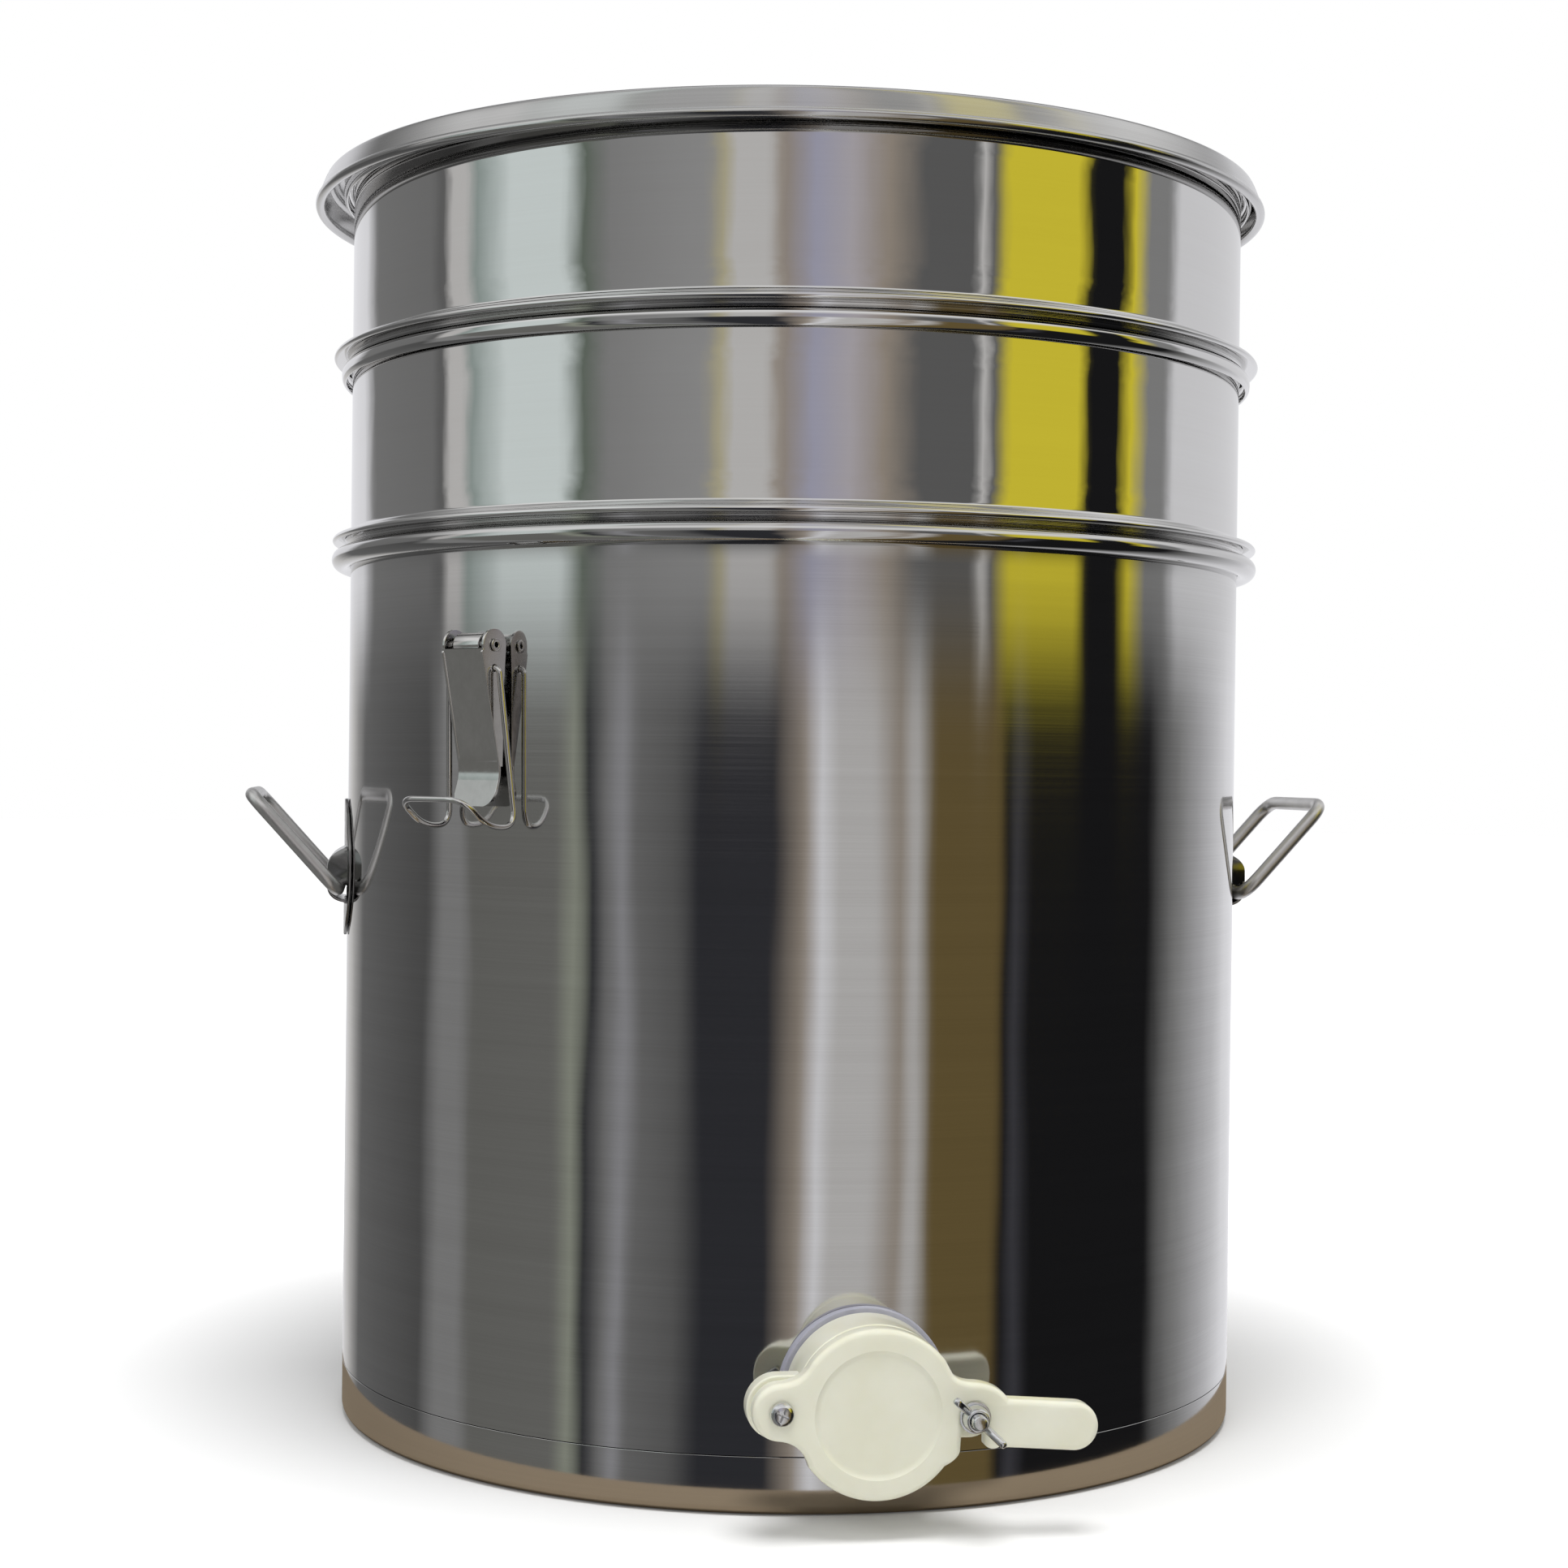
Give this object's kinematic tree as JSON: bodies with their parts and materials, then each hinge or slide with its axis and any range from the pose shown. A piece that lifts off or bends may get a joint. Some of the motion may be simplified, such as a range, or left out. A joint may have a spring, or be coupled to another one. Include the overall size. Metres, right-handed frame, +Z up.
{
  "type": "honey settling tank",
  "caption": "Upright steel honey settling tank with stacked drop-in strainers, lid, swing handles, draw latches and a bottom swing gate.",
  "frame": {"origin": "on the tank's axis, at the flat base that it stands on", "axes": "+Z up along the tank, -Y towards the gate, +X and -X towards the carrying handles"},
  "size_m": [0.4874, 0.4603, 0.579],
  "materials": {
    "brushed_shell": "fine brushing round the wall",
    "mirror_shell": "mirror-polished stainless sheet",
    "stainless_fittings": "bright stainless",
    "woven_mesh": "woven stainless wire",
    "plated_fasteners": "bright plating",
    "cream_plastic": "glossy moulded plastic",
    "grey_rubber": "matte soft rubber"
  },
  "bodies": {
    "tank": {"tank_wall": "brushed_shell", "tank_bottom": "brushed_shell", "handle_bracket_left": "stainless_fittings", "handle_bracket_right": "stainless_fittings", "latch_front_base": "stainless_fittings", "latch_front_pin": "stainless_fittings", "latch_back_base": "stainless_fittings", "latch_back_pin": "stainless_fittings", "gate_body": "cream_plastic", "gate_outer_gasket": "grey_rubber", "gate_inner_gasket": "grey_rubber", "gate_lock_nut": "cream_plastic", "gate_hinge_screw": "plated_fasteners", "gate_hinge_nut": "plated_fasteners", "gate_clamp_bolt": "plated_fasteners"},
    "lower_strainer": {"lower_strainer_ring": "mirror_shell", "lower_strainer_mesh": "woven_mesh", "lower_strainer_clamp_ring": "stainless_fittings", "lower_strainer_cross": "stainless_fittings"},
    "upper_strainer": {"upper_strainer_ring": "mirror_shell", "upper_strainer_mesh": "woven_mesh", "upper_strainer_clamp_ring": "stainless_fittings", "upper_strainer_cross": "stainless_fittings"},
    "lid": {"lid_pan": "brushed_shell", "lid_handle": "stainless_fittings", "lid_rivet_left": "stainless_fittings", "lid_rivet_right": "stainless_fittings"},
    "handle_left": {"handle_left": "stainless_fittings"},
    "handle_right": {"handle_right": "stainless_fittings"},
    "latch_front_lever": {"latch_front_lever": "stainless_fittings"},
    "latch_front_bail": {"latch_front_bail": "stainless_fittings"},
    "latch_back_lever": {"latch_back_lever": "stainless_fittings"},
    "latch_back_bail": {"latch_back_bail": "stainless_fittings"},
    "gate_cover": {"gate_cover": "cream_plastic"},
    "clamp_washer": {"gate_clamp_washer": "plated_fasteners"},
    "wing_nut": {"gate_wing_nut": "plated_fasteners"}
  },
  "joints": [
    {"name": "lower_strainer_lift", "type": "slide", "parent": "tank", "child": "lower_strainer", "axis": [0, 0, 1], "range_m": [0, 0.12]},
    {"name": "upper_strainer_lift", "type": "slide", "parent": "lower_strainer", "child": "upper_strainer", "axis": [0, 0, 1], "range_m": [0, 0.12]},
    {"name": "lid_lift", "type": "slide", "parent": "upper_strainer", "child": "lid", "axis": [0, 0, 1], "range_m": [0, 0.15]},
    {"name": "handle_left_swing", "type": "hinge", "parent": "tank", "child": "handle_left", "pos_m": [-0.2039, 0, 0.232], "axis": [0, 1, 0], "range_deg": [-130, 40]},
    {"name": "handle_right_swing", "type": "hinge", "parent": "tank", "child": "handle_right", "pos_m": [0.2039, 0, 0.232], "axis": [0, -1, 0], "range_deg": [-130, 40]},
    {"name": "latch_front_lever_swing", "type": "hinge", "parent": "tank", "child": "latch_front_lever", "pos_m": [-0.14933, -0.14421, 0.334], "axis": [-0.6947, 0.7193, 0], "range_deg": [0, 135]},
    {"name": "latch_front_bail_swing", "type": "hinge", "parent": "latch_front_lever", "child": "latch_front_bail", "pos_m": [-0.14933, -0.14421, 0.3249], "axis": [-0.6947, 0.7193, 0], "range_deg": [0, 30]},
    {"name": "latch_back_lever_swing", "type": "hinge", "parent": "tank", "child": "latch_back_lever", "pos_m": [0.14933, 0.14421, 0.334], "axis": [0.6947, -0.7193, 0], "range_deg": [0, 135]},
    {"name": "latch_back_bail_swing", "type": "hinge", "parent": "latch_back_lever", "child": "latch_back_bail", "pos_m": [0.14933, 0.14421, 0.3249], "axis": [0.6947, -0.7193, 0], "range_deg": [0, 30]},
    {"name": "gate_cover_swing", "type": "hinge", "parent": "tank", "child": "gate_cover", "pos_m": [-0.0365, -0.2313, 0.0489], "axis": [0, -1, 0], "range_deg": [0, 95]},
    {"name": "clamp_washer_slide", "type": "slide", "parent": "tank", "child": "clamp_washer", "axis": [0, -1, 0], "range_m": [0, 0.0031]},
    {"name": "wing_nut_turn", "type": "hinge", "parent": "clamp_washer", "child": "wing_nut", "pos_m": [0.0362, -0.2402, 0.0459], "axis": [0, -1, 0], "range_deg": [0, 1080]}
  ],
  "couplings": [
    {"joint": "clamp_washer_slide", "follows": "wing_nut_turn", "m_per_rad": 0.00015915}
  ]
}
